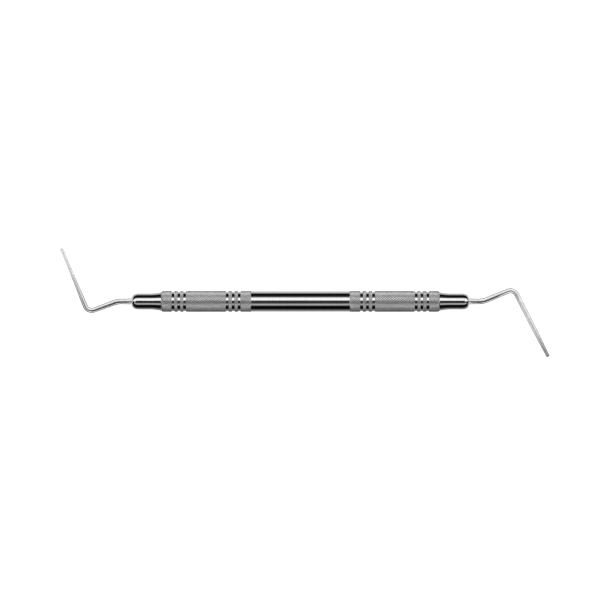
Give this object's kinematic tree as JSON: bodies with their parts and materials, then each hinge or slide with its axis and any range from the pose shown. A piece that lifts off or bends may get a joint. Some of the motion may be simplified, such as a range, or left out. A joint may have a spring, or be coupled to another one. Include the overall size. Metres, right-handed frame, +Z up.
{
  "type": "double-ended dental plugger",
  "caption": "Slim round steel hand instrument: knurled, grooved hollow handle with a smooth middle band, bullet-shaped nose cones and opposed bent, tapered shanks with blunt flat tips.",
  "frame": {"origin": "middle of the handle, on its axis; lying flat, the knurled bands rest 3.25 mm below it", "axes": "+X along the handle towards end B, +Y in the plane of the bends (end A's leg points to +Y, end B's to -Y), +Z up out of that plane"},
  "size_m": [0.1538, 0.0344, 0.0064],
  "materials": {
    "handle": "polished stainless steel with satin diamond-knurled bands",
    "nose_cone": "mirror-polished stainless steel, turned",
    "working_end": "satin stainless steel, polished along its length"
  },
  "bodies": {
    "root": {"handle_tube": "handle", "nose_cone_a": "nose_cone", "nose_cone_b": "nose_cone", "working_end_a": "working_end", "working_end_b": "working_end"}
  },
  "joints": []
}
